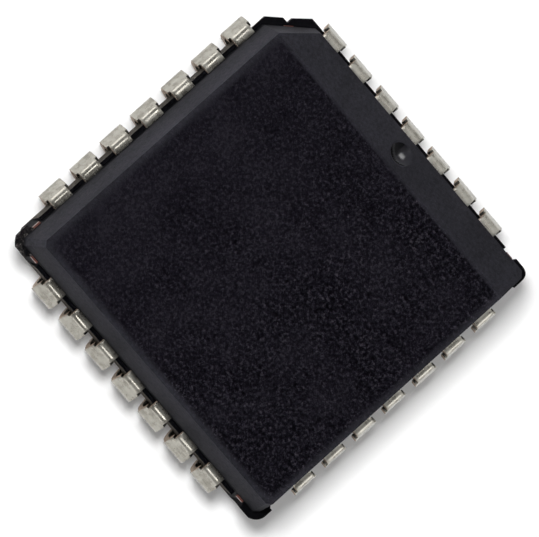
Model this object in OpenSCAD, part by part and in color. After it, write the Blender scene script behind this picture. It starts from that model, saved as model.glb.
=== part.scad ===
// Plastic leaded chip carrier with J-leads, seven on each side.
// Millimetres. The origin is the middle of the seating plane, +Z is up.
// Pin 1 is the middle lead of the +Y side, and the cut corner is at -X +Y.
// Pins count counter-clockwise, seen from above.

/* [Leads] */
// Distance between neighbouring leads
pitch = 1.27; // [1:0.01:1.5]
// Thickness of the lead frame
lead_t = 0.2; // [0.15:0.01:0.25]
// Height of the leads' upper face above the seating plane
lead_top = 2.62; // [2.3:0.01:3]
// Width of a lead where it leaves the body
shoulder_w = 0.69; // [0.5:0.01:0.76]
// Width of a lead over its ears, the stubs of the cut dam bar
ear_w = 0.86; // [0.78:0.01:1]
// Width of the foot below the ears
foot_w = 0.43; // [0.33:0.01:0.53]
// Straight run of a lead beyond the ledge, before it bends down
shoulder = 0.01; // [0:0.01:0.1]
// Outer radius of the bend at the shoulder
bend_r = 0.25; // [0.24:0.01:0.35]
// Angle left of the shoulder bend where the ears start, 90 at its upper end
ear_start = 50; // [40:1:60]
// Angle by which the leads flare outwards below the shoulder bend
flare = 30; // [15:1:38]
// Length of the flared stretch
flare_len = 0.36; // [0.2:0.01:0.5]
// Outer radius of the knee below it, the widest place of the part
knee_r = 0.25; // [0.24:0.01:0.35]
// Angle by which the leads lean inwards below the knee
lean_in = 9; // [4:0.5:12]
// Outer radius of the hook under the body
hook_r = 0.75; // [0.6:0.01:0.86]
// Angle that stays open between the hook's tip and the horizontal
hook_open = 10; // [0:1:30]

/* [Upper half] */
// Distance from the end lead's middle to the side of the upper half
corner_margin = 1.85; // [1.6:0.01:2.2]
// Height of the upper half above the leads
upper_h = 1.83; // [1.5:0.01:2]
// Draft angle of the upper half
upper_draft = 7.8; // [3:0.1:10]
// Leg of the cut corner next to pin 1
corner_cut = 1.16; // [0.9:0.01:1.3]
// Leg of the small flats on the other upright edges
corner_break = 0.16; // [0.05:0.01:0.3]
// Width of the bevel along the pin 1 side, seen from above
bevel_w = 1.13; // [0.9:0.01:1.4]
// Height of that bevel
bevel_h = 0.68; // [0.5:0.01:0.9]
// Diameter of the pin 1 dimple on the bevel
dimple_d = 0.86; // [0.5:0.01:1]
// Depth of the dimple
dimple_depth = 0.17; // [0.08:0.01:0.25]

/* [Lower half] */
// Height of the underside above the seating plane
standoff = 0.6; // [0.51:0.01:0.7]
// Draft angle of the lower half
lower_draft = 4.5; // [2:0.1:8]
// Leg of the flats on the lower half's upright edges, at their upper end
lower_break = 0.2; // [0.1:0.01:0.3]
// Leg of those flats at the underside
foot_break = 0.55; // [0.3:0.01:0.7]
// How far the ledge below the leads stands out beyond the upper half
ledge_out = 0.13; // [0.05:0.01:0.16]
// Thickness of the ledge where it hangs over the cut corner
ledge_t = 0.3; // [0.15:0.01:0.5]
// Leg of the ledge's own corner cut
ledge_cut = 1.05; // [0.8:0.01:1.2]
// Leg of the corner cut below the ledge
lower_cut = 1.6; // [1.3:0.01:2]
// Depth of the square gate notch in the ledge's cut corner
gate_depth = 0.16; // [0.08:0.01:0.2]
// How far a corner post stands out beyond the upper half
post_out = 0.23; // [0.18:0.01:0.3]
// Length of a corner post along each side
post_len = 0.72; // [0.6:0.01:0.8]
// How far a post has drawn in behind the sides at the underside
post_fade = 0.03; // [0.01:0.01:0.1]
// Corner radius of a post
post_round = 0.45; // [0.2:0.01:0.55]
// Diameter of the two ejector marks on the underside
mark_d = 1.5; // [1:0.1:2.5]
// Depth of the ejector marks
mark_depth = 0.06; // [0.03:0.01:0.15]
// Distance of an ejector mark from the middle
mark_pos = 2.4; // [1.5:0.1:3]

/* [Inside] */
// Width of the die paddle
paddle_w = 4.4; // [3.6:0.1:4.6]
// Width of the bars that tie the paddle to the corners
tie_w = 0.27; // [0.2:0.01:0.35]
// Distance of the cut tie bar ends from the side of the upper half around the corner
tie_in = 0.72; // [0.68:0.01:0.76]
// How far the cut ends stand out of the upper half beside the posts
tie_out = 0.06; // [0.02:0.01:0.11]
// How far the cut end stands out at the cut corner
gate_tie_out = 0.02; // [0.01:0.01:0.05]
// Length of a lead's wide root inside the body
root_len = 0.35; // [0.2:0.01:0.6]
// Width of a lead finger behind its root
finger_w = 0.4; // [0.3:0.01:0.45]
// Width of a finger's tip
tip_w = 0.3; // [0.2:0.01:0.36]
// Distance between neighbouring finger tips
tip_pitch = 0.62; // [0.5:0.01:0.64]
// Gap between the paddle and the finger tips
tip_gap = 0.55; // [0.4:0.01:0.8]
// Width of the die
die_w = 2.8; // [2.2:0.1:3.2]
// Thickness of the die
die_t = 0.36; // [0.2:0.01:0.5]
// Width by which the die attach stands out round the die
attach_rim = 0.08; // [0.02:0.01:0.15]
// Thickness of the die attach
attach_t = 0.03; // [0.02:0.01:0.06]
// Thickness of a bond wire
wire_d = 0.032; // [0.025:0.001:0.05]
// Height of the wire loops above the die
loop_h = 0.2; // [0.12:0.01:0.4]
// Distance of the bond pads from the die's edge
pad_in = 0.12; // [0.08:0.01:0.2]
// Distance of the bonds from the finger tips
bond_in = 0.15; // [0.1:0.01:0.3]
// Distance between neighbouring bond pads
pad_pitch = 0.36; // [0.28:0.01:0.38]

/* [Clearances] */
// Gap between the leads and the ledge below them
ledge_gap = 0.02; // [0.01:0.01:0.05]
// Room round the hook's tip in its pocket
pocket_gap = 0.14; // [0.08:0.01:0.2]

/* [Hidden] */
sides = 4;
side_leads = 7;
lead_count = sides * side_leads;
over = 1;              // how far cutting shapes reach beyond what they cut
round_fn = 64;
rt2 = sqrt(2);

// Half widths at the lead plane
upper_r = (side_leads - 1) * pitch / 2 + corner_margin;
ledge_r = upper_r + ledge_out;
post_r = upper_r + post_out;
reach = 2 * post_r;      // half size of blanks that are cut to shape

// Heights
lead_bottom = lead_top - lead_t;
ledge_top = lead_bottom - ledge_gap;
upper_root = ledge_top - ledge_t / 2;
body_top = lead_top + upper_h;
bevel_bottom = body_top - bevel_h;
attach_top = lead_top + attach_t;
die_top = attach_top + die_t;

// Drafted sides: inward travel per millimetre of height, and over the whole upper half
upper_slope = tan(upper_draft);
lower_slope = tan(lower_draft);
upper_inset = upper_h * upper_slope;

// Pin 1 bevel: its upper edge, middle and tilt
bevel_out_y = upper_r - (bevel_bottom - lead_top) * upper_slope;
bevel_in_y = bevel_out_y - bevel_w;
bevel_tilt = atan2(bevel_h, bevel_w);
dimple_r = (pow(dimple_d / 2, 2) + pow(dimple_depth, 2)) / (2 * dimple_depth);

// Half widths at the underside: the posts fade into the sides just above it
lower_foot = ledge_r - (ledge_top - standoff) * lower_slope;
post_foot = lower_foot - post_fade;

// Lead profile: centres of shoulder bend, knee and hook, and the foot between the last two
bend_x = ledge_r + shoulder;
bend_z = lead_top - bend_r;
knee_x = bend_x + (bend_r - knee_r) * cos(flare) + flare_len * sin(flare);
knee_z = bend_z + (bend_r - knee_r) * sin(flare) - flare_len * cos(flare);
foot_top_x = knee_x + knee_r * cos(lean_in);
foot_top_z = knee_z - knee_r * sin(lean_in);
foot_len = (foot_top_z + hook_r * sin(lean_in) - hook_r) / cos(lean_in);
hook_x = foot_top_x - foot_len * sin(lean_in) - hook_r * cos(lean_in);
hook_tip_z = hook_r - (hook_r - lead_t) * sin(hook_open);

// Lead fingers
root_r = upper_r - root_len;
tip_r = paddle_w / 2 + tip_gap;

// Corner posts and tie bar ends
post_start = post_r - post_len;
tie_pos = upper_r - tie_in;
notch_start = 2 * tie_pos - post_start;
cut_side = 1;           // quarter turns from +X +Y to the cut corner

LEAD_NAMES = [for (i = [1:lead_count]) str("lead_", i < 10 ? "0" : "", i)];
WIRE_NAMES = [for (i = [1:lead_count]) str("wire_", i < 10 ? "0" : "", i)];

// Colours
resin = [0.11, 0.11, 0.12];
tin = [0.69, 0.67, 0.62];
copper = [0.62, 0.36, 0.24];
silver = [0.72, 0.72, 0.7];
silicon = [0.4, 0.42, 0.47];
gold = [0.85, 0.68, 0.3];

// Pin i sits on a side and has a place along it; both follow from pin 1 in the middle of +Y.
function pin_step(i) = (i - 1 + floor(side_leads / 2)) % lead_count;
function pin_side(i) = floor(pin_step(i) / side_leads);
function pin_slot(i) = pin_step(i) % side_leads - (side_leads - 1) / 2;

// A side's own frame: x points out of the side, y runs along it counter-clockwise.
module on_side(quarter) {
    rotate(90 + 90 * quarter)
        children();
}

// A profile in x and z, drawn out along y over the whole body
module along_y(points) {
    rotate([90, 0, 0])
        linear_extrude(2 * reach, center = true)
            polygon(points);
}

// Profile of the upper half between two sides, given their distance at the leads and how far
// they draw in up to the top; below the leads it goes upright down to its root in the lower half
module upper_profile(near, near_inset, far, far_inset) {
    along_y([
        [-near, upper_root], [far, upper_root], [far, lead_top],
        [far - far_inset, body_top], [-near + near_inset, body_top], [-near, lead_top]
    ]);
}

module pin_one_bevel_profile() {
    rotate(90)
        along_y([
            [-upper_r, upper_root], [upper_r, upper_root], [upper_r, lead_top],
            [bevel_out_y, bevel_bottom], [bevel_in_y, body_top],
            [-upper_r + upper_inset, body_top], [-upper_r, lead_top]
        ]);
}

// The flats on the broken corners keep their width all the way up; the cut corner is drafted.
module upper_half() {
    broken = (2 * upper_r - corner_break) / rt2;
    broken_inset = upper_inset * rt2;
    cut = (2 * upper_r - corner_cut) / rt2;
    intersection() {
        upper_profile(upper_r, upper_inset, upper_r, upper_inset);
        pin_one_bevel_profile();
        rotate(45)
            upper_profile(broken, broken_inset, broken, broken_inset);
        rotate(135)
            upper_profile(broken, broken_inset, cut, upper_inset);
    }
}

module dimple() {
    mid_y = (bevel_in_y + bevel_out_y) / 2;
    mid_z = (body_top + bevel_bottom) / 2;
    translate([0, mid_y, mid_z])
        rotate([-bevel_tilt, 0, 0])
            translate([0, 0, dimple_r - dimple_depth])
                sphere(dimple_r, $fn = round_fn);
}

// Profile of a block that draws in towards the underside
module lower_profile(half, top, foot) {
    along_y([[-foot, standoff], [foot, standoff], [half, top], [-half, top]]);
}

// A block whose four sides draw in, with flats on its upright edges that widen downwards
module lower_block(half, top, foot) {
    edge = (2 * half - lower_break) / rt2;
    foot_edge = (2 * foot - foot_break) / rt2;
    intersection() {
        lower_profile(half, top, foot);
        rotate(90)
            lower_profile(half, top, foot);
        rotate(45)
            lower_profile(edge, top, foot_edge);
        rotate(135)
            lower_profile(edge, top, foot_edge);
    }
}

// The ledge hangs over the larger corner cut below it and has the gate notch in its edge.
module lower_corner_cut() {
    ledge_edge = (2 * ledge_r - ledge_cut) / rt2;
    lower_edge = (2 * ledge_r - lower_cut) / rt2;
    ledge_under = ledge_top - ledge_t;
    rotate(135) {
        translate([lower_edge, -reach, 0])
            cube([reach, 2 * reach, ledge_under]);
        translate([ledge_edge, -reach, 0])
            cube([reach, 2 * reach, body_top]);
        translate([ledge_edge - gate_depth, 0, 0])
            rotate(-45)
                cube([over, over, body_top]);
    }
}

// Grooves in the ledge beside the posts, where the tie bars were cut
module tie_notches() {
    for (quarter = [0:sides - 1])
        if (quarter != cut_side)
            rotate(90 * quarter)
                for (flip = [0, 1])
                    mirror([flip, -flip, 0])
                        translate([upper_r, notch_start, 0])
                            cube([over, post_start - notch_start, ledge_top + over]);
}

module post_outline() {
    flat = post_len - post_round;
    translate([post_start, post_start]) {
        square([post_len, flat]);
        square([flat, post_len]);
        translate([flat, flat])
            circle(post_round, $fn = round_fn);
    }
}

module posts() {
    intersection() {
        lower_block(post_r, lead_top, post_foot);
        linear_extrude(body_top)
            for (quarter = [0:sides - 1])
                if (quarter != cut_side)
                    rotate(90 * quarter)
                        post_outline();
    }
}

module hook_pockets() {
    low = hook_x - hook_r - pocket_gap;
    high = hook_x - hook_r + lead_t + pocket_gap;
    width = foot_w + 2 * pocket_gap;
    for (quarter = [0:sides - 1])
        on_side(quarter)
            for (slot = [0:side_leads - 1])
                translate([low, (slot - (side_leads - 1) / 2) * pitch - width / 2, 0])
                    cube([high - low, width, hook_tip_z + pocket_gap]);
}

module ejector_marks() {
    for (side = [-1, 1])
        translate([side * mark_pos / rt2, side * mark_pos / rt2, 0])
            cylinder(d = mark_d, h = standoff + mark_depth, $fn = round_fn);
}

module lower_half() {
    difference() {
        lower_block(ledge_r, ledge_top, lower_foot);
        lower_corner_cut();
        tie_notches();
    }
    posts();
}

// The moulding, with room for all that is cast into it
module body() {
    color(resin)
        difference() {
            union() {
                upper_half();
                lower_half();
            }
            dimple();
            hook_pockets();
            ejector_marks();
            for (i = [1:lead_count])
                pin_place(i)
                    lead_frame_part(pin_slot(i));
            die_paddle();
            die_attach();
            die();
            for (i = [1:lead_count])
                wire(i);
        }
}

module pin_place(i) {
    on_side(pin_side(i))
        children();
}

// The flat part of a lead: root through the body's side, then the finger towards the paddle
module lead_frame_part(slot) {
    along = slot * pitch;
    tip = slot * tip_pitch;
    translate([0, 0, lead_bottom])
        linear_extrude(lead_t)
            polygon([
                [bend_x, along - shoulder_w / 2], [bend_x, along + shoulder_w / 2],
                [root_r, along + shoulder_w / 2], [root_r, along + finger_w / 2],
                [tip_r, tip + tip_w / 2], [tip_r, tip - tip_w / 2],
                [root_r, along - finger_w / 2], [root_r, along - shoulder_w / 2]
            ]);
}

// A curved stretch of a lead about the origin, turning up from the +X direction
module curl(radius, width, turn) {
    rotate([90, 0, 0])
        rotate_extrude(angle = turn, $fn = round_fn)
            translate([radius - lead_t, -width / 2])
                square([lead_t, width]);
}

// A straight stretch of a lead, down from the start of a bend of this outer radius
module strip(radius, width, length) {
    translate([radius - lead_t, -width / 2, -length])
        cube([lead_t, width, length]);
}

// The shoulder bend down to the flare, cut narrow above the ears
module shoulder_bend() {
    ear_turn = ear_start - flare;
    difference() {
        curl(bend_r, ear_w, 90 - flare);
        for (side = [-1, 1])
            rotate([0, -ear_turn, 0])
                translate([-over, side * (shoulder_w + over) / 2 - over / 2, 0])
                    cube([2 * over, over, over]);
    }
}

// Foot and hook below the knee
module foot() {
    strip(knee_r, foot_w, foot_len);
    translate([knee_r - hook_r, 0, -foot_len])
        mirror([0, 0, 1])
            curl(hook_r, foot_w, 180 - lean_in - hook_open);
}

// Shoulder bend, flare, knee, foot and hook, each starting from the end of the one above it
module bent_lead(along) {
    translate([bend_x, along, bend_z])
        rotate([0, -flare, 0]) {
            shoulder_bend();
            strip(bend_r, ear_w, flare_len);
            translate([bend_r - knee_r, 0, -flare_len]) {
                mirror([0, 0, 1])
                    curl(knee_r, ear_w, flare + lean_in);
                rotate([0, flare + lean_in, 0])
                    foot();
            }
        }
}

module lead(i) {
    color(tin)
        pin_place(i) {
            lead_frame_part(pin_slot(i));
            bent_lead(pin_slot(i) * pitch);
        }
}

// Tie bar to a broken corner: it forks to both sides of the post
module forked_tie() {
    near = tie_pos - tie_w / 2;
    far = tie_pos + tie_w / 2;
    end = upper_r + tie_out;
    rotate(45)
        translate([0, -tie_w / 2])
            square([tie_pos * rt2, tie_w]);
    polygon([[near, near], [end, near], [end, far], [far, far], [far, end], [near, end]]);
}

// Tie bar to the cut corner: it ends straight at the gate notch
module straight_tie() {
    rotate(45)
        translate([0, -tie_w / 2])
            square([(2 * upper_r - corner_cut) / rt2 + gate_tie_out, tie_w]);
}

module die_paddle() {
    color(copper)
        translate([0, 0, lead_bottom])
            linear_extrude(lead_t) {
                square(paddle_w, center = true);
                for (quarter = [0:sides - 1])
                    rotate(90 * quarter)
                        if (quarter == cut_side)
                            straight_tie();
                        else
                            forked_tie();
            }
}

module die_attach() {
    attach_w = die_w + 2 * attach_rim;
    color(silver)
        translate([-attach_w / 2, -attach_w / 2, lead_top])
            cube([attach_w, attach_w, attach_t]);
}

module die() {
    color(silicon)
        translate([-die_w / 2, -die_w / 2, attach_top])
            cube([die_w, die_w, die_t]);
}

// A bond wire: up from its pad on the die, over in a loop and down to its finger
module wire(i) {
    slot = pin_slot(i);
    pad = [die_w / 2 - pad_in, slot * pad_pitch];
    bond = [tip_r + bond_in, slot * tip_pitch];
    run = norm(bond - pad);
    heading = atan2(bond[1] - pad[1], bond[0] - pad[0]);
    half = wire_d / 2;
    peak = die_top + loop_h;
    knee = run / 3;
    heel = run - 2 * wire_d;
    color(gold)
        pin_place(i)
            translate(pad)
                rotate([90, 0, heading])
                    linear_extrude(wire_d, center = true)
                        polygon([
                            [-half, die_top], [half, die_top], [half, peak - wire_d],
                            [knee, peak - wire_d], [heel, lead_top], [run + half, lead_top],
                            [run + half, lead_top + half], [heel + wire_d, lead_top + wire_d],
                            [knee + half, peak], [-half, peak]
                        ]);
}

body();
for (i = [1:lead_count])
    lead(i);
die_paddle();
die_attach();
die();
for (i = [1:lead_count])
    wire(i);
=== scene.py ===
"""Looks for a plastic leaded chip carrier: a black moulding with tinned J-leads on a white table.

Shapes are worked out in millimetres and turned into metres when a piece is made.
"""

import math
import random

import bmesh
import bpy
from mathutils import Matrix, Vector


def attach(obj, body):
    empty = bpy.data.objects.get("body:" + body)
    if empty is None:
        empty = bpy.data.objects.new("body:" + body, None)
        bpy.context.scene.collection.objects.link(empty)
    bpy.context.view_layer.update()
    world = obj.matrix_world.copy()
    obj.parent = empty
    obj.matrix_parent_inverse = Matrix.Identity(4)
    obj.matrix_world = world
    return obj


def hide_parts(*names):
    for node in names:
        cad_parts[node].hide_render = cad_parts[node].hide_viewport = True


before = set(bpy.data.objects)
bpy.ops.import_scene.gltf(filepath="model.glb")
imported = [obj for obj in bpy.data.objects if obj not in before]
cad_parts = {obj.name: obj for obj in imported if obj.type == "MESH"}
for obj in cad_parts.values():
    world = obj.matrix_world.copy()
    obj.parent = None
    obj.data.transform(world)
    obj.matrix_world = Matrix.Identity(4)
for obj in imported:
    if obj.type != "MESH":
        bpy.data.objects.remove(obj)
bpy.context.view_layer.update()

MM = 0.001

# Body, in millimetres and degrees, as in the part's source
UPPER_R = 5.66
BODY_TOP = 4.45
UPPER_DRAFT = 7.8
BEVEL_W = 1.13
BEVEL_H = 0.68
DIMPLE_D = 0.86
DIMPLE_DEPTH = 0.17
LEDGE_TOP = 2.4

# Leads, in millimetres and degrees, as in the part's source
SIDES = 4
SIDE_LEADS = 7
PITCH = 1.27
LEAD_T = 0.2
LEAD_TOP = 2.62
SHOULDER_W = 0.69
EAR_W = 0.86
FOOT_W = 0.43
BEND_X = 5.8
BEND_R = 0.25
FLARE_LEN = 0.36
KNEE_R = 0.25
LEAN_IN = 9.0
HOOK_R = 0.75
HOOK_OPEN = 10.0

# The top face: half its width, and the edge it shares with the pin 1 bevel
UPPER_SLOPE = math.tan(math.radians(UPPER_DRAFT))
TOP_HALF = UPPER_R - (BODY_TOP - LEAD_TOP) * UPPER_SLOPE
BEVEL_EDGE = UPPER_R - (BODY_TOP - BEVEL_H - LEAD_TOP) * UPPER_SLOPE - BEVEL_W

# The bevel with the dimple in its middle, and a distance from there that takes in the whole dimple
BEVEL_NORMAL = Vector((0.0, BEVEL_H, BEVEL_W)).normalized()
BEVEL_CENTRE = Vector((0.0, BEVEL_EDGE + BEVEL_W / 2, BODY_TOP - BEVEL_H / 2))
DIMPLE_R = DIMPLE_D / 2
DIMPLE_ZONE = 0.6 * DIMPLE_D

# Finish, in millimetres. The first three are upper limits: the tightest edge of a set limits them all
EDGE_ROUND = 0.12  # edges of the upper half
LEDGE_ROUND = 0.012  # edges of the ledge and the posts
LEAD_ROUND = 0.014  # edges of the leads
LIP_ROUND = 0.03  # lip of the dimple, to either side
EAR_SETBACK = 0.04  # from the end of the shoulder bend to the ears
ROOT_IN = 0.1  # how far a lead reaches into the body
RIM_FADE = 0.34  # smoother rim of the top face
GRAIN_FADE = 0.14  # the same beside the bevel
TOP_FADE = 0.12  # depth below the top face at which its grain has ended

# The leads are not bent alike: flare of each row in degrees, from +Y counter-clockwise, and how far
# single leads are off their row, in degrees and millimetres
ROW_FLARE = (23.0, 33.0, 41.0, 17.0)
FLARE_SPREAD = 2.5
ALONG_SPREAD = 0.015
LEAD_SEED = 28

# Mould mismatch: how far the ledge on the dimple's side stands out further, between the corners,
# and the share of its overhang that the post beside it keeps
LEDGE_SHIFT = 0.04
LEDGE_SPAN = 4.9
POST_SHARE = 0.65

# Edges this far inside the upper half, going by |x| + |y|, belong to hollows and stay sharp
HOLLOW_MARGIN = 1.6

# Fineness of the round shapes
BEND_STEPS = 10
KNEE_STEPS = 6
HOOK_STEPS = 26
DIMPLE_RINGS = 14
DIMPLE_SIDES = 72
EDGE_SEGMENTS = 5
FINE_SEGMENTS = 2

# Angles between faces, in degrees, above which an edge is rounded or drawn sharp
UPPER_SHARP = 5.0
LEDGE_SHARP = 40.0
LEAD_SHARP = 35.0
LEAD_CREASE = 32.0

# Tolerances: for points that are one, faces in one plane, points on a face and points clear of it, in
# millimetres; for facets of one face, in degrees; and for parallel normals, as a cosine
WELD = 1e-4
FLAT = 1e-3
SLACK = 0.01
CLEAR = 0.1
FACET_TURN = 0.5
PARALLEL = 0.9999

# Where most values of a noise lie, a wider span, and one around 1 in which grain makes an edge ragged
NOISE_SPAN = (0.35, 0.65)
WIDE_SPAN = (0.3, 0.7)
RAGGED_SPAN = (0.75, 1.25)

# Tones of the grainy top, from its pits to its peaks
TOP_TONES = (
    (0.3, (0.0003, 0.0002, 0.0006)),
    (0.5, (0.0038, 0.0034, 0.0052)),
    (0.62, (0.0115, 0.0105, 0.0136)),
    (0.74, (0.031, 0.0295, 0.035)),
)

# Tones of the smooth walls by height in millimetres, with painted shade: black around the leads and on
# the ledge below them, and a little darker towards the bottom
WALL_SHADE_TONES = (
    (LEAD_TOP + 0.02, (0.0015, 0.0015, 0.002)),
    (LEAD_TOP + 0.2, (0.0088, 0.0088, 0.01)),
    (BODY_TOP, (0.0105, 0.0102, 0.0129)),
)

# Tones of the downward-facing wall below the ledge, painted light grey as if lit, the upward parts of the
# normal between which it is told from the walls above, and the width in millimetres over which this
# painted light ends at the posts, where the walls' painted shade takes over
LOWER_WALL_LIGHT_TONES = ((0.35, (0.016, 0.013, 0.011)), (0.65, (0.085, 0.074, 0.062)))
DOWNWARD = (-0.06, -0.02)
LOWER_LIGHT_FADE = 0.2

# Tones of the flecked corner's post, from the bare compound to light flecks in its pits, the values of
# x + y between which the flecks end, and heights for the post's top, all in millimetres
FLECK_TONES = (
    (0.45, (0.0015, 0.0015, 0.002)),
    (0.55, (0.01, 0.009, 0.009)),
    (0.68, (0.075, 0.068, 0.065)),
)
FLECKED_CORNER = (-9.5, -8.0)
POST_TOP_START = (LEAD_TOP - 0.08, LEAD_TOP - 0.04)
POST_TOP_END = (LEAD_TOP + 0.005, LEAD_TOP + 0.02)

# Tones of the dimple from its -X end to its +X end, with painted shade darkening the -X end, whose wall
# faces away from the key light, and of the tin from stained to clean
DIMPLE_SHADE_TONES = ((0.3, (0.001, 0.001, 0.0015)), (0.75, (0.011, 0.011, 0.0135)))
TIN_TONES = ((0.45, (0.246, 0.232, 0.2)), (0.9, (0.442, 0.427, 0.382)))

# Name of the map that unrolls a lead, and its stretch for lines across the lead
STRIP_MAP = "strip"
LINE_STRETCH = (0.5, 8.0, 1.0)

# Table: half its size in millimetres, its colour, and the white added where it is seen, also in metal,
# so that only the shadow shows
TABLE_HALF = 400.0
TABLE_COLOUR = (0.9, 0.9, 0.9, 1.0)
TABLE_LIFT = 0.03

# Brightness of the studio by the upward part of the direction
SKY_LEVELS = ((0.0, 1.3), (0.1, 0.8), (0.35, 0.6), (0.75, 0.42), (0.95, 0.2))

# Lights: name, direction, size in millimetres, power in watts. The key is never mirrored, the shines
# are only mirrored, and the last of them only by the body
LIGHT_DISTANCE = 130.0
KEY = ("key", (-0.3, -0.05, 1.0), 24.0, 0.15)
SHINES = (
    ("left_shine", (-0.27, 0.144, 0.95), 28.0, 0.018),
    ("low_left_shine", (-0.96, 0.144, 0.22), 40.0, 0.017),
    ("front_shine", (0.169, -0.36, 0.92), 22.0, 0.015),
    ("low_front_shine", (0.169, -0.955, 0.245), 26.0, 0.004),
    ("high_back_shine", (0.169, 0.3, 0.94), 50.0, 0.006),
    ("back_shine", (0.169, 0.62, 0.76), 90.0, 0.014),
    ("right_shine", (0.95, 0.144, 0.28), 40.0, 0.014),
)
DIMPLE_SHINE = ("dimple_shine", (-0.07, 0.84, 0.54), 60.0, 0.28)

# Camera, from a fit to the photograph: turns in radians, lengths in millimetres
CAM_TURNS = (-0.1441, 0.1718, -0.8394)
CAM_TARGET = Vector((0.0, 0.0, 2.6))
CAM_DISTANCE = 244.66
CAM_SHIFT = Vector((-0.1144, -0.3345))
CAM_CLIP = 10.0
PX_PER_MM = 32.2653
IMAGE_W = 539
SENSOR_W = 36.0

# Places of a Mix node's colour sockets, whose names it repeats for other kinds of data
MIX_SHARE, MIX_FIRST, MIX_SECOND, MIX_RESULT = 0, 6, 7, 2


# Objects


def make_object(name, bm, materials):
    """An object from a mesh in millimetres."""
    bm.transform(Matrix.Scale(MM, 4))
    mesh = bpy.data.meshes.new(name)
    bm.to_mesh(mesh)
    bm.free()
    for material in materials:
        mesh.materials.append(material)
    made = bpy.data.objects.new(name, mesh)
    bpy.context.scene.collection.objects.link(made)
    return made


def make_piece(name, bm, materials, nodes):
    """A piece that rides on the part and stands for the CAD nodes."""
    piece = make_object(name, bm, materials)
    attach(piece, "root")
    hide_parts(*nodes)
    return piece


# Materials


class Graph:
    """The nodes of a material or a world. Its methods add nodes and return their outputs."""

    def __init__(self, owner):
        owner.use_nodes = True
        self.nodes = owner.node_tree.nodes
        self.links = owner.node_tree.links

    def feed(self, node, inputs):
        """Fills a node's inputs, by name or place, with other nodes' outputs or plain values."""
        for name, value in inputs.items():
            if isinstance(value, bpy.types.NodeSocket):
                self.links.new(value, node.inputs[name])
            else:
                node.inputs[name].default_value = value

    def add(self, kind, inputs, **settings):
        """A new node, returned whole."""
        node = self.nodes.new(kind)
        for name, value in settings.items():
            setattr(node, name, value)
        self.feed(node, inputs)
        return node

    def coordinate(self, name):
        return self.add("ShaderNodeTexCoord", {}).outputs[name]

    def place(self):
        """The point on the surface, in millimetres."""
        return self.scaled(self.coordinate("Object"), 1.0 / MM)

    def axes(self, vector):
        outputs = self.add("ShaderNodeSeparateXYZ", {"Vector": vector}).outputs
        return outputs["X"], outputs["Y"], outputs["Z"]

    def scaled(self, vector, factor):
        """A vector or a colour times a factor."""
        node = self.add("ShaderNodeVectorMath", {0: vector, "Scale": factor}, operation="SCALE")
        return node.outputs["Vector"]

    def calc(self, operation, first, second=0.0):
        """A sum, product or the like of two values, or of one."""
        return self.add("ShaderNodeMath", {0: first, 1: second}, operation=operation).outputs["Value"]

    def remap(self, value, span, to):
        """A value mapped from one span to another, clamped at both ends."""
        inputs = {"Value": value}
        inputs["From Min"], inputs["From Max"] = span
        inputs["To Min"], inputs["To Max"] = to
        return self.add("ShaderNodeMapRange", inputs).outputs["Result"]

    def noise(self, vector, scale, detail=3.0, roughness=0.55):
        inputs = {"Vector": vector, "Scale": scale, "Detail": detail, "Roughness": roughness}
        return self.add("ShaderNodeTexNoise", inputs).outputs["Fac"]

    def ramp(self, value, stops):
        """The colour that runs through the stops, each a place and a colour."""
        node = self.add("ShaderNodeValToRGB", {"Fac": value})
        elements = node.color_ramp.elements
        while len(elements) < len(stops):
            elements.new(0.5)
        for element, (place, colour) in zip(elements, stops):
            element.position = place
            element.color = (*colour, 1.0)
        return node.outputs["Color"]

    def blend(self, share, first, second):
        """Mixes two colours; a share of 1 gives the second."""
        inputs = {MIX_SHARE: share, MIX_FIRST: first, MIX_SECOND: second}
        return self.add("ShaderNodeMix", inputs, data_type="RGBA").outputs[MIX_RESULT]

    def bump(self, height, strength, depth):
        """The normal of a surface with heights on it, of a depth in millimetres."""
        inputs = {"Height": height, "Strength": strength, "Distance": depth * MM}
        return self.add("ShaderNodeBump", inputs).outputs["Normal"]


class Surface(Graph):
    """The nodes of a new material with the standard shader."""

    def __init__(self, name):
        self.material = bpy.data.materials.new(name)
        super().__init__(self.material)

    def shaded(self, inputs):
        """Fills the shader's inputs and returns the material."""
        self.feed(self.nodes["Principled BSDF"], inputs)
        return self.material


def on_top_face(surface, place, grain):
    """1 on the grainy top face, with a ragged fade to 0 along its edges."""
    x, y, z = surface.axes(place)
    share = surface.remap(surface.calc("ABSOLUTE", x), (TOP_HALF - RIM_FADE, TOP_HALF), (1.0, 0.0))
    for value, span, to in (
        (y, (-TOP_HALF, -TOP_HALF + RIM_FADE), (0.0, 1.0)),
        (y, (BEVEL_EDGE - GRAIN_FADE, BEVEL_EDGE), (1.0, 0.0)),
        (z, (BODY_TOP - TOP_FADE, BODY_TOP), (0.0, 1.0)),
    ):
        share = surface.calc("MULTIPLY", share, surface.remap(value, span, to))
    return surface.remap(surface.calc("ADD", share, grain), RAGGED_SPAN, (0.0, 1.0))


def top_tone(surface, place, grain, patches):
    """Tone of the top: the grain's swing, stronger in some patches and where the top is less worn."""
    x, _, _ = surface.axes(place)
    worn = surface.remap(x, (-TOP_HALF, 0.2 * TOP_HALF), (0.5, 1.2))
    contrast = surface.calc("MULTIPLY", surface.remap(patches, NOISE_SPAN, (0.8, 1.6)), worn)
    tone = surface.calc("MULTIPLY", surface.calc("SUBTRACT", grain, 0.5), contrast)
    tone = surface.calc("ADD", tone, surface.remap(contrast, (0.4, 1.6), (0.52, 0.46)))
    tone = surface.calc("ADD", tone, surface.remap(patches, NOISE_SPAN, (0.02, -0.02)))
    return surface.ramp(tone, TOP_TONES)


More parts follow.
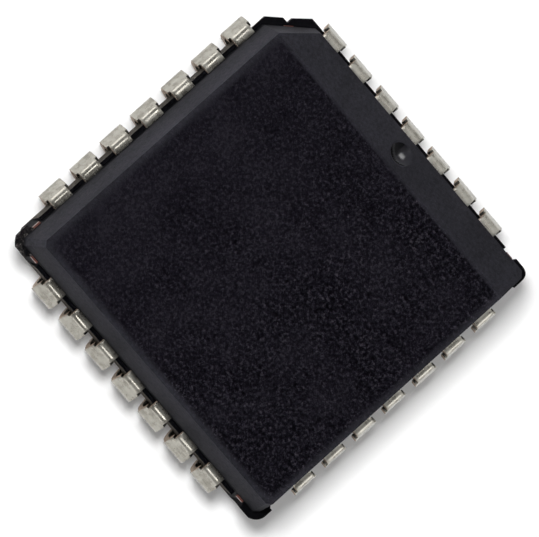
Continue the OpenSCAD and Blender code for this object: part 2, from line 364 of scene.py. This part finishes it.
def wall_shade_and_sheen(surface, z, facing_up, grain, patches):
    """Tone of the smooth walls: grey above the leads; black around them and on the ledge, a painted
    shade; and lighter where they are steep, a painted sheen.
    """
    height = surface.calc("MULTIPLY", z, 1.0 / BODY_TOP)
    tone = surface.ramp(height, [(level / BODY_TOP, colour) for level, colour in WALL_SHADE_TONES])
    for value, span, levels in (
        # Painted sheen: steep walls are painted up to 2.45 times lighter than faces that look up
        (facing_up, WIDE_SPAN, (2.45, 1.0)),
        (grain, WIDE_SPAN, (0.45, 1.55)),
        (patches, NOISE_SPAN, (0.82, 1.18)),
    ):
        tone = surface.scaled(tone, surface.remap(value, span, levels))
    return tone


def smooth_tone(surface, place, grain, mottle, patches):
    """Tone of the smooth faces: the walls above, with painted shade and painted sheen; painted light on
    the downward-facing wall below the ledge; and light flecks on one corner's post.
    """
    x, y, z = surface.axes(place)
    _, _, facing_up = surface.axes(surface.coordinate("Normal"))
    wall = wall_shade_and_sheen(surface, z, facing_up, grain, patches)
    flecked_corner = surface.remap(surface.calc("ADD", x, y), FLECKED_CORNER, (1.0, 0.0))
    flecked = surface.blend(flecked_corner, wall, surface.ramp(mottle, FLECK_TONES))
    # Painted light: between the posts, the wall below the ledge that faces down is painted light grey, as
    # if lit; near the posts it keeps the walls' painted shade
    along = surface.calc("MINIMUM", surface.calc("ABSOLUTE", x), surface.calc("ABSOLUTE", y))
    between_posts = surface.remap(along, (LEDGE_SPAN, LEDGE_SPAN + LOWER_LIGHT_FADE), (1.0, 0.0))
    lower = surface.blend(between_posts, flecked, surface.ramp(mottle, LOWER_WALL_LIGHT_TONES))
    facing_down = surface.remap(facing_up, DOWNWARD, (1.0, 0.0))
    tone = surface.blend(facing_down, wall, lower)
    # The posts' tops take the flecked tone: the walls' painted shade, black at that height, with light
    # flecks on one corner
    above_start = surface.remap(z, POST_TOP_START, (0.0, 1.0))
    below_end = surface.remap(z, POST_TOP_END, (1.0, 0.0))
    post_top = surface.calc("MULTIPLY", above_start, below_end)
    return surface.blend(post_top, tone, flecked)


def resin_material():
    """Black mould compound: grainy on top, smoother where the mould was polished; its smooth faces carry
    painted shade and painted light.
    """
    surface = Surface("resin")
    place = surface.place()
    grain = surface.noise(place, 8.5, detail=4.0, roughness=0.9)
    patches = surface.noise(place, 0.6, detail=4.0, roughness=0.6)
    mottle = surface.noise(place, 9.0, detail=3.0, roughness=0.7)
    top = on_top_face(surface, place, grain)
    rough = top_tone(surface, place, grain, patches)
    smooth = smooth_tone(surface, place, grain, mottle, patches)
    height = surface.calc("MULTIPLY", grain, surface.remap(top, (0.0, 1.0), (0.15, 1.0)))
    return surface.shaded({
        "Base Color": surface.blend(top, smooth, rough),
        "Roughness": surface.remap(top, (0.0, 1.0), (0.55, 0.65)),
        "Specular IOR Level": 0.01,
        "Normal": surface.bump(height, strength=0.8, depth=0.03),
    })


def polished_material():
    """The same compound where the mould's pin left it shiny, with painted shade darkening the dimple
    towards its -X end.
    """
    surface = Surface("polished_resin")
    place = surface.place()
    x, _, _ = surface.axes(place)
    # Painted shade: the dimple is darker towards its -X end, whose wall faces away from the key light
    along = surface.remap(x, (-DIMPLE_R, DIMPLE_R), (0.0, 1.0))
    return surface.shaded({
        "Base Color": surface.ramp(along, DIMPLE_SHADE_TONES),
        "Roughness": 0.2,
        "Specular IOR Level": 0.1,
        "Normal": surface.bump(surface.noise(place, 7.0), strength=0.1, depth=0.02),
    })


def tin_material():
    """Tin plate with fine lines across the lead, left by the bending tool, and dull stains."""
    surface = Surface("tinned_lead")
    unrolled = surface.add("ShaderNodeUVMap", {}, uv_map=STRIP_MAP).outputs["UV"]
    stretched = surface.add("ShaderNodeMapping", {"Vector": unrolled, "Scale": LINE_STRETCH})
    lines = surface.noise(stretched.outputs["Vector"], 1.0, detail=2.0)
    stains = surface.noise(surface.place(), 4.0, detail=4.0)
    tone = surface.calc("ADD", surface.calc("MULTIPLY", lines, 0.35), stains)
    return surface.shaded({
        "Base Color": surface.ramp(tone, TIN_TONES),
        "Metallic": 1.0,
        "Roughness": surface.remap(stains, NOISE_SPAN, (0.22, 0.34)),
        "Normal": surface.bump(lines, strength=0.4, depth=0.02),
    })


def plain_material(name, colour, roughness, metallic):
    """A piece's own colour with a slight mottle."""
    surface = Surface(name)
    mottle = surface.noise(surface.place(), 6.0)
    dark = tuple(0.6 * level for level in colour)
    low, high = WIDE_SPAN
    return surface.shaded({
        "Base Color": surface.ramp(mottle, ((low, dark), (high, colour))),
        "Roughness": roughness,
        "Metallic": metallic,
    })


def paper_material():
    """White paper that is lifted a little where it is seen."""
    surface = Surface("table_paper")
    rays = surface.add("ShaderNodeLightPath", {}).outputs
    seen = surface.calc("ADD", rays["Is Camera Ray"], rays["Is Glossy Ray"])
    return surface.shaded({
        "Base Color": TABLE_COLOUR,
        "Roughness": 1.0,
        "Specular IOR Level": 0.0,
        "Emission Color": (1.0, 1.0, 1.0, 1.0),
        "Emission Strength": surface.calc("MULTIPLY", seen, TABLE_LIFT),
    })


RESIN = resin_material()
POLISHED_RESIN = polished_material()
TIN = tin_material()
CUT_COPPER = plain_material("cut_copper", (0.46, 0.36, 0.28), roughness=0.6, metallic=0.2)
COPPER = plain_material("bare_copper", (0.17, 0.065, 0.05), roughness=0.4, metallic=0.6)
SILVER_EPOXY = plain_material("silver_epoxy", (0.5, 0.5, 0.48), roughness=0.5, metallic=0.3)
SILICON = plain_material("silicon", (0.16, 0.17, 0.2), roughness=0.15, metallic=0.6)
GOLD = plain_material("gold", (0.8, 0.58, 0.2), roughness=0.25, metallic=1.0)


# Edges, for the leads and the body


def is_sharp(edge, degrees):
    """Whether the edge's two faces turn by more than an angle."""
    return edge.is_manifold and edge.calc_face_angle() > math.radians(degrees)


def round_edges(bm, edges, radius, segments):
    """Rounds a set of edges by a radius, or all of them by less if one has no room for it."""
    bmesh.ops.bevel(
        bm, geom=edges, offset=radius, segments=segments, profile=0.5, affect="EDGES", clamp_overlap=True
    )


# Leads


def pin_place(pin):
    """The pin's side, from +Y counter-clockwise, and its place along that side in millimetres."""
    step = (pin - 1 + SIDE_LEADS // 2) % (SIDES * SIDE_LEADS)
    side, slot = divmod(step, SIDE_LEADS)
    return side, (slot - SIDE_LEADS // 2) * PITCH


def direction(angle):
    """Unit vector in a lead's own plane: out of the side and up."""
    return Vector((math.cos(math.radians(angle)), math.sin(math.radians(angle))))


def arc(centre, radius, start, end, steps, width):
    """Stations around a bend, up to the one before its end."""
    angles = [start + (end - start) * k / steps for k in range(steps)]
    return [(centre + direction(angle) * radius, angle, width) for angle in angles]


def lead_stations(flare):
    """Stations from the body to the hook's tip: outer face (r, z), its angle, width from there on."""
    lean = math.radians(LEAN_IN)
    tip = HOOK_OPEN - 180.0
    bend = Vector((BEND_X, LEAD_TOP - BEND_R))
    bend_end = bend + direction(flare) * BEND_R
    knee = bend + direction(flare) * (BEND_R - KNEE_R) + direction(flare - 90.0) * FLARE_LEN
    foot_top = knee + direction(-LEAN_IN) * KNEE_R
    foot_len = (foot_top.y + HOOK_R * math.sin(lean) - HOOK_R) / math.cos(lean)
    hook = foot_top + direction(-LEAN_IN - 90.0) * foot_len - direction(-LEAN_IN) * HOOK_R
    return [
        (Vector((UPPER_R - ROOT_IN, LEAD_TOP)), 90.0, SHOULDER_W),
        *arc(bend, BEND_R, 90.0, flare, BEND_STEPS, SHOULDER_W),
        (bend_end, flare, SHOULDER_W),
        (bend_end + direction(flare - 90.0) * EAR_SETBACK, flare, EAR_W),
        *arc(knee, KNEE_R, flare, -LEAN_IN, KNEE_STEPS, EAR_W),
        (foot_top, -LEAN_IN, FOOT_W),
        *arc(hook, HOOK_R, -LEAN_IN, tip, HOOK_STEPS, FOOT_W),
        (hook + direction(tip) * HOOK_R, tip, FOOT_W),
    ]


# Lines along a lead at which its sides can lie
COLUMNS = [width / 2 for width in (-EAR_W, -SHOULDER_W, -FOOT_W, FOOT_W, SHOULDER_W, EAR_W)]


def lead_cells(stations):
    """The cells that a lead covers: those between a station and the next, and a column and the next."""
    return {
        (k, c)
        for k, (_, _, width) in enumerate(stations[:-1])
        for c in range(len(COLUMNS) - 1)
        if max(abs(COLUMNS[c]), abs(COLUMNS[c + 1])) < width / 2 + WELD
    }


def lengths_along(stations):
    """Length of a lead's outer face from its first station to each of them."""
    lengths = [0.0]
    for (start, _, _), (end, _, _) in zip(stations, stations[1:]):
        lengths.append(lengths[-1] + (end - start).length)
    return lengths


def lead_mesh(pin, rng):
    """A bent strip with square ears and softened edges; the cut sides are slot 1."""
    side, along = pin_place(pin)
    stations = lead_stations(ROW_FLARE[side] + rng.uniform(-FLARE_SPREAD, FLARE_SPREAD))
    along += rng.uniform(-ALONG_SPREAD, ALONG_SPREAD)
    cells = lead_cells(stations)
    lengths = lengths_along(stations)
    bm = bmesh.new()
    strip = bm.loops.layers.uv.new(STRIP_MAP)
    corners = {}

    def corner(k, c, depth):
        if (k, c, depth) not in corners:
            outer, angle, _ = stations[k]
            place = outer - direction(angle) * depth
            corners[k, c, depth] = bm.verts.new((place.x, along + COLUMNS[c], place.y))
        return corners[k, c, depth]

    def add_face(places, slot=0):
        face = bm.faces.new([corner(*place) for place in places])
        face.material_index = slot
        for loop, (k, c, _) in zip(face.loops, places):
            loop[strip].uv = (COLUMNS[c] + pin * PITCH, lengths[k])

    for k, c in cells:
        ring = [(k, c), (k, c + 1), (k + 1, c + 1), (k + 1, c)]
        add_face([(*place, 0.0) for place in ring])
        add_face([(*place, LEAD_T) for place in reversed(ring)])
        for edge, beyond in enumerate(((k - 1, c), (k, c + 1), (k + 1, c), (k, c - 1))):
            if beyond not in cells:
                first, second = ring[edge], ring[(edge + 1) % len(ring)]
                wall = [(*second, 0.0), (*first, 0.0), (*first, LEAD_T), (*second, LEAD_T)]
                add_face(wall, slot=edge % 2)

    bmesh.ops.recalc_face_normals(bm, faces=bm.faces)
    round_edges(bm, [e for e in bm.edges if is_sharp(e, LEAD_SHARP)], LEAD_ROUND, FINE_SEGMENTS)
    bmesh.ops.dissolve_degenerate(bm, edges=bm.edges, dist=WELD)
    bm.transform(Matrix.Rotation(math.radians(90.0 + 90.0 * side), 4, "Z"))
    return bm


def dress_leads():
    rng = random.Random(LEAD_SEED)
    for pin in range(1, SIDES * SIDE_LEADS + 1):
        name = f"lead_{pin:02d}"
        piece = make_piece(f"bent_{name}", lead_mesh(pin, rng), (TIN, CUT_COPPER), (name,))
        for polygon in piece.data.polygons:
            polygon.use_smooth = True
        piece.data.set_sharp_from_angle(angle=math.radians(LEAD_CREASE))


# Body


def above_bevel(face):
    """How far a face's middle lies above the bevel's plane."""
    return (face.calc_center_median() - BEVEL_CENTRE).dot(BEVEL_NORMAL)


def from_dimple(face):
    """How far a face's middle lies from the middle of the dimple's mouth."""
    return (face.calc_center_median() - BEVEL_CENTRE).length


def on_bevel(face):
    """Whether a face lies in the bevel's plane."""
    return face.normal.dot(BEVEL_NORMAL) > PARALLEL and abs(above_bevel(face)) < FLAT


def fill_dimple(bm):
    """Takes the coarse dimple out of the bevel and closes the bevel with one face."""

    def in_bowl(face):
        return from_dimple(face) < DIMPLE_ZONE and above_bevel(face) < -WELD

    old = [f for f in bm.faces if on_bevel(f) or in_bowl(f)]
    bmesh.ops.delete(bm, geom=old, context="FACES")
    bmesh.ops.contextual_create(bm, geom=[e for e in bm.edges if e.is_boundary])


def dimple_depth(r):
    """Depth of the dimple at a distance from its middle: part of a ball with its lip rounded over."""
    ball = (DIMPLE_R**2 + DIMPLE_DEPTH**2) / (2 * DIMPLE_DEPTH)
    lip_start = DIMPLE_R - LIP_ROUND
    deep = math.sqrt(ball**2 - min(r, lip_start) ** 2) - (ball - DIMPLE_DEPTH)
    if r <= lip_start:
        return deep
    share = (DIMPLE_R + LIP_ROUND - r) / (2 * LIP_ROUND)
    return deep * share * share


def dimple_faces(bm):
    """A fine round dimple, without the bevel around it."""
    across = Vector((1.0, 0.0, 0.0))
    along = BEVEL_NORMAL.cross(across)
    turns = [2 * math.pi * j / DIMPLE_SIDES for j in range(DIMPLE_SIDES)]
    rings = []
    for k in range(DIMPLE_RINGS):
        r = (DIMPLE_R + LIP_ROUND) * math.cos(0.5 * math.pi * k / DIMPLE_RINGS)
        drop = BEVEL_NORMAL * dimple_depth(r)
        outward = [across * math.cos(turn) + along * math.sin(turn) for turn in turns]
        rings.append([bm.verts.new(BEVEL_CENTRE + way * r - drop) for way in outward])
    bottom = bm.verts.new(BEVEL_CENTRE - BEVEL_NORMAL * DIMPLE_DEPTH)
    steps = [(j, (j + 1) % DIMPLE_SIDES) for j in range(DIMPLE_SIDES)]
    faces = [
        bm.faces.new((outer[j], outer[i], inner[i], inner[j]))
        for outer, inner in zip(rings, rings[1:])
        for j, i in steps
    ]
    return faces + [bm.faces.new((rings[-1][j], rings[-1][i], bottom)) for j, i in steps]


def cut_dimple(bm):
    """Replaces the bevel's face by one with a dimple that has a soft lip and is polished inside."""
    face = max((f for f in bm.faces if on_bevel(f)), key=lambda f: f.calc_area())
    outline = list(face.edges)
    bmesh.ops.delete(bm, geom=[face], context="FACES_ONLY")
    for f in dimple_faces(bm):
        f.smooth = True
        f.material_index = int(from_dimple(f) < DIMPLE_R - LIP_ROUND)
    lip = [e for e in bm.edges if e.is_boundary and e not in outline]
    bmesh.ops.triangle_fill(
        bm, edges=outline + lip, use_beauty=True, use_dissolve=False, normal=BEVEL_NORMAL
    )
    bmesh.ops.recalc_face_normals(bm, faces=bm.faces)


def shift_lower_half(bm):
    """Mould mismatch: on the dimple's side the ledge stands out further and the last post less."""

    def drawn_in(reach):
        return UPPER_R + (reach - UPPER_R) * POST_SHARE if reach > UPPER_R else reach

    for v in bm.verts:
        if v.co.z > LEAD_TOP + SLACK:
            continue
        on_ledge = v.co.y > UPPER_R + CLEAR and v.co.z < LEDGE_TOP + SLACK
        if on_ledge and abs(v.co.x) < LEDGE_SPAN:
            v.co.y += LEDGE_SHIFT
        elif min(v.co.x, v.co.y) > LEDGE_SPAN:
            v.co.x, v.co.y = drawn_in(v.co.x), drawn_in(v.co.y)


def upper_edges(bm):
    """Edges of the upper half, apart from its foot and the hollows well inside it."""

    def outside(edge):
        return max(abs(v.co.x) + abs(v.co.y) for v in edge.verts) > UPPER_R - HOLLOW_MARGIN

    def above_leads(edge):
        heights = [v.co.z for v in edge.verts]
        return min(heights) > LEAD_TOP - SLACK and max(heights) > LEAD_TOP + CLEAR

    return [e for e in bm.edges if is_sharp(e, UPPER_SHARP) and above_leads(e) and outside(e)]


def ledge_edges(bm):
    """Edges of the ledge and the corner posts, where they stand out from the upper half."""

    def on_ledge(point):
        return max(abs(point.x), abs(point.y)) > UPPER_R + SLACK and point.z > LEDGE_TOP - SLACK

    return [e for e in bm.edges if is_sharp(e, LEDGE_SHARP) and all(on_ledge(v.co) for v in e.verts)]


def body_mesh():
    """The CAD body with softened mould edges and a finely rounded dimple."""
    bm = bmesh.new()
    bm.from_mesh(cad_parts["body"].data)
    bm.transform(Matrix.Scale(1.0 / MM, 4))
    bmesh.ops.remove_doubles(bm, verts=bm.verts, dist=WELD)
    bmesh.ops.dissolve_limit(bm, angle_limit=math.radians(FACET_TURN), verts=bm.verts, edges=bm.edges)
    bm.normal_update()
    fill_dimple(bm)
    shift_lower_half(bm)
    bm.normal_update()
    round_edges(bm, upper_edges(bm), EDGE_ROUND, EDGE_SEGMENTS)
    bm.normal_update()
    round_edges(bm, ledge_edges(bm), LEDGE_ROUND, FINE_SEGMENTS)
    bm.normal_update()
    bmesh.ops.dissolve_degenerate(bm, edges=bm.edges, dist=WELD)
    cut_dimple(bm)
    return bm


def dress_body():
    piece = make_piece("moulded_body", body_mesh(), (RESIN, POLISHED_RESIN), ("body",))


def dress_inside():
    """The cast-in parts keep their CAD shapes and get their own materials."""
    finishes = {"die_paddle": COPPER, "die_attach": SILVER_EPOXY, "die": SILICON}
    for name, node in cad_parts.items():
        finish = finishes.get(name, GOLD if name.startswith("wire_") else None)
        if finish:
            node.data.materials.clear()
            node.data.materials.append(finish)


# Table, light and camera


def make_table():
    bm = bmesh.new()
    bmesh.ops.create_grid(bm, x_segments=1, y_segments=1, size=TABLE_HALF)
    table = make_object("table", bm, (paper_material(),))


def make_world():
    """A studio that is bright all round and dim overhead."""
    world = bpy.data.worlds.new("studio")
    bpy.context.scene.world = world
    graph = Graph(world)
    _, _, up = graph.axes(graph.coordinate("Generated"))
    sky = graph.ramp(up, [(place, (level, level, level)) for place, level in SKY_LEVELS])
    graph.feed(graph.nodes["Background"], {"Color": sky})


def add_softbox(name, toward, size, power, mirrored):
    """A square soft light that faces the part, for reflections or for all else."""
    lamp = bpy.data.lights.new(name, "AREA")
    lamp.size = size * MM
    lamp.energy = power
    box = bpy.data.objects.new(name, lamp)
    box.visible_glossy = mirrored
    box.visible_diffuse = not mirrored
    box.visible_camera = False
    bpy.context.scene.collection.objects.link(box)
    back = Vector(toward).normalized()
    box.location = back * LIGHT_DISTANCE * MM
    box.rotation_euler = back.to_track_quat("Z", "Y").to_euler()
    return box


def only_for(name):
    """A collection that holds one piece, for a light that no other piece reflects."""
    group = bpy.data.collections.new(f"lit_{name}")
    group.objects.link(bpy.data.objects[name])
    return group


def make_lights():
    add_softbox(*KEY, mirrored=False)
    for shine in SHINES:
        add_softbox(*shine, mirrored=True)
    dimple_shine = add_softbox(*DIMPLE_SHINE, mirrored=True)
    dimple_shine.light_linking.receiver_collection = only_for("moulded_body")


def make_camera():
    tilt_x, tilt_y, turn = CAM_TURNS
    to_camera = (
        Matrix.Rotation(turn, 3, "Z") @ Matrix.Rotation(tilt_x, 3, "X") @ Matrix.Rotation(tilt_y, 3, "Y")
    )
    right, up, back = to_camera
    data = bpy.data.cameras.new("camera")
    data.sensor_fit = "HORIZONTAL"
    data.sensor_width = SENSOR_W
    data.lens = PX_PER_MM * CAM_DISTANCE * SENSOR_W / IMAGE_W
    data.clip_start = CAM_CLIP * MM
    camera = bpy.data.objects.new("camera", data)
    bpy.context.scene.collection.objects.link(camera)
    place = CAM_TARGET + back * CAM_DISTANCE + right * CAM_SHIFT.x + up * CAM_SHIFT.y
    camera.matrix_world = Matrix.Translation(place * MM) @ to_camera.transposed().to_4x4()
    bpy.context.scene.camera = camera


dress_body()
dress_leads()
dress_inside()
make_table()
make_world()
make_lights()
make_camera()
bpy.context.scene.view_settings.view_transform = "Standard"
